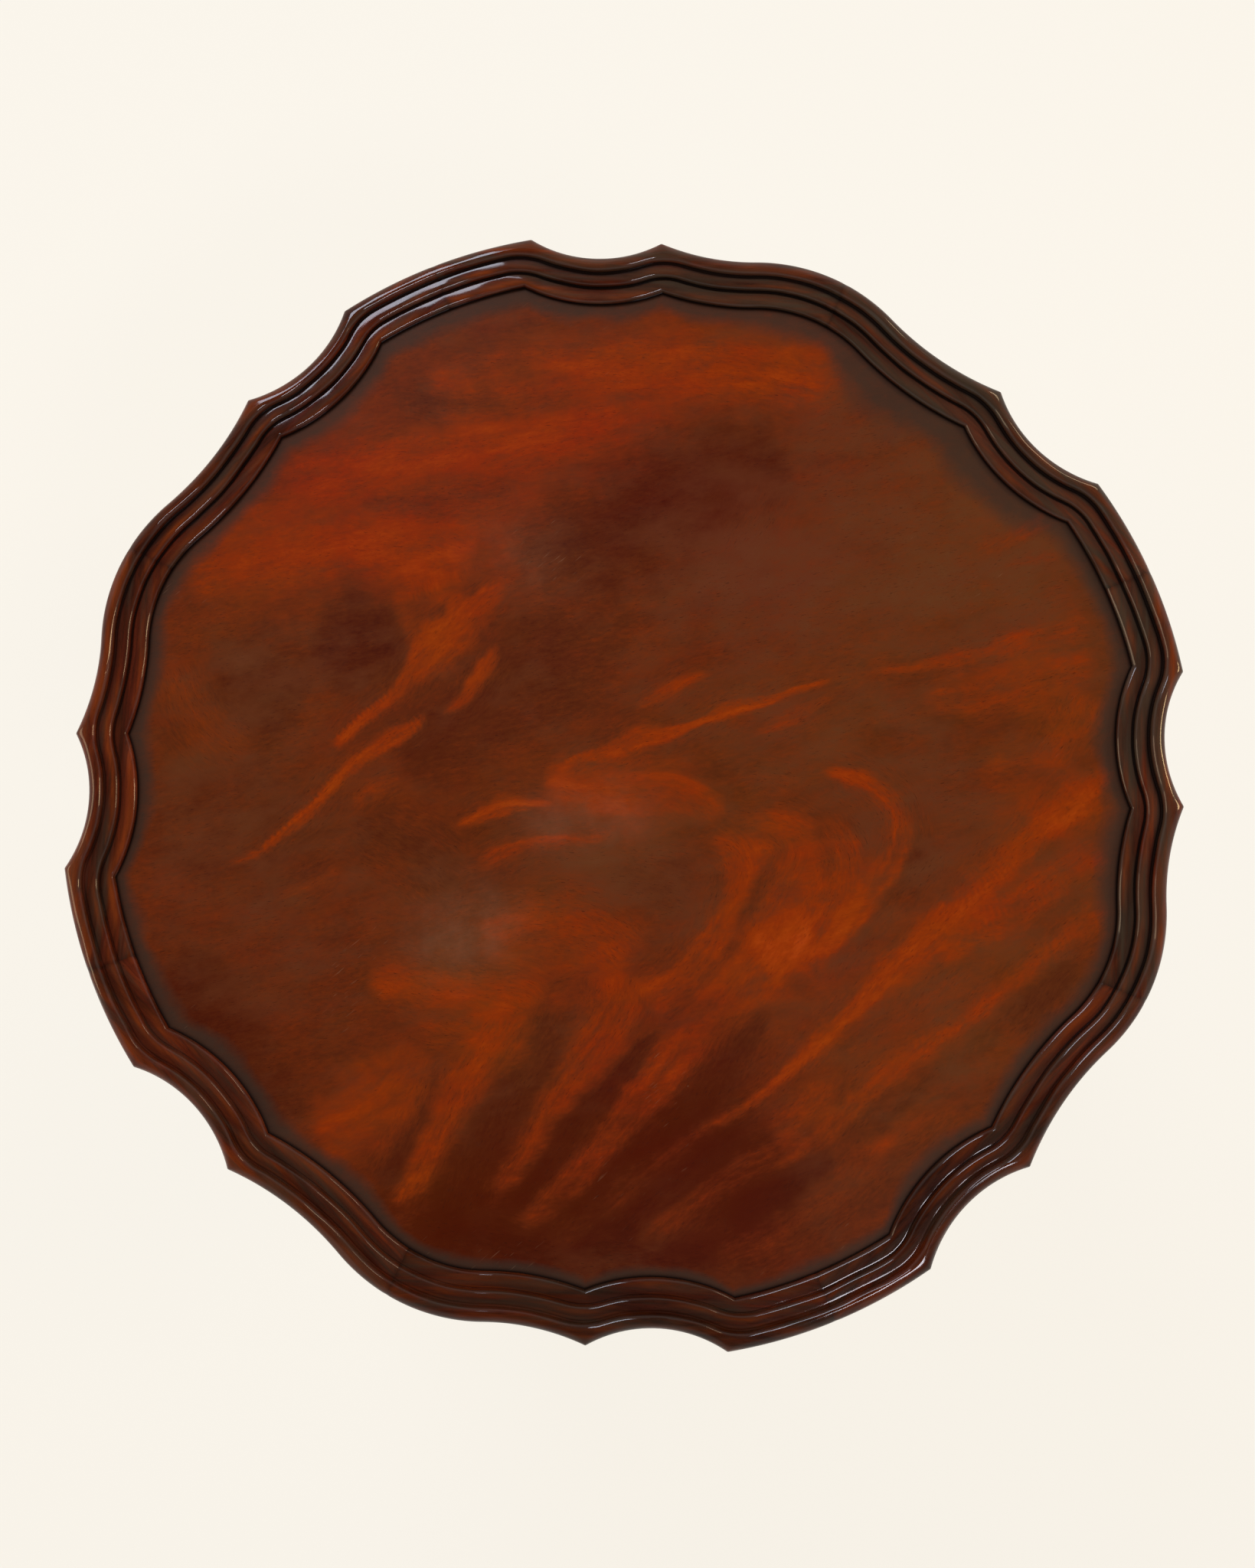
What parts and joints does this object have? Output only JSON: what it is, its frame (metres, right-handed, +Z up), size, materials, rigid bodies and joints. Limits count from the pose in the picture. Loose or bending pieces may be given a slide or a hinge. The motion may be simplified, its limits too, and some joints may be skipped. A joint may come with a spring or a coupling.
{
  "type": "tiered side table",
  "caption": "Side table with revolving round tiers inside scalloped stepped rims, on a turned column and a tripod of cabriole legs.",
  "frame": {"origin": "on the floor, under the column's axis", "axes": "+Z up along the column; +X through the middle of a short lobe of the tiers; -Y towards the front leg"},
  "size_m": [0.6108, 0.6108, 0.72],
  "materials": {
    "flame_veneer": "flame-figured mahogany veneer, dark red-brown, polished to a high gloss",
    "moulded_mahogany": "solid mahogany moulding, stained near black-brown, polished",
    "turned_mahogany": "turned solid mahogany, dark stain, polished",
    "carved_mahogany": "shaped solid mahogany, dark stain, polished",
    "panel_core": "plain sawn core board",
    "plain_veneer": "plain mahogany backing veneer, thin satin finish",
    "brass": "turned brass, dulled",
    "forged_iron": "black forged iron plate",
    "steel_screws": "dulled steel"
  },
  "bodies": {
    "base": {"pedestal": "turned_mahogany", "front_leg": "carved_mahogany", "right_leg": "carved_mahogany", "left_leg": "carved_mahogany", "spider_plate": "forged_iron", "spider_screws": "steel_screws", "lower_thrust_washer": "brass", "upper_column": "turned_mahogany", "upper_thrust_washer": "brass", "retaining_washer": "steel_screws", "retaining_screw": "steel_screws"},
    "lower_tier": {"lower_core": "panel_core", "lower_face_veneer": "flame_veneer", "lower_back_veneer": "plain_veneer", "lower_hub": "turned_mahogany", "lower_hub_screws": "steel_screws", "lower_rim_1": "moulded_mahogany", "lower_rim_2": "moulded_mahogany", "lower_rim_3": "moulded_mahogany", "lower_rim_4": "moulded_mahogany", "lower_rim_5": "moulded_mahogany", "lower_rim_6": "moulded_mahogany", "lower_rim_7": "moulded_mahogany", "lower_rim_8": "moulded_mahogany"},
    "upper_tier": {"upper_core": "panel_core", "upper_face_veneer": "flame_veneer", "upper_back_veneer": "plain_veneer", "upper_hub": "turned_mahogany", "upper_hub_screws": "steel_screws", "upper_rim_1": "moulded_mahogany", "upper_rim_2": "moulded_mahogany", "upper_rim_3": "moulded_mahogany", "upper_rim_4": "moulded_mahogany", "upper_rim_5": "moulded_mahogany", "upper_rim_6": "moulded_mahogany", "upper_rim_7": "moulded_mahogany", "upper_rim_8": "moulded_mahogany"}
  },
  "joints": [
    {"name": "lower_tier_turn", "type": "hinge", "parent": "base", "child": "lower_tier", "pos_m": [0, 0, 0.4], "axis": [0, 0, 1], "continuous": true},
    {"name": "upper_tier_turn", "type": "hinge", "parent": "base", "child": "upper_tier", "pos_m": [0, 0, 0.7095], "axis": [0, 0, 1], "continuous": true}
  ]
}
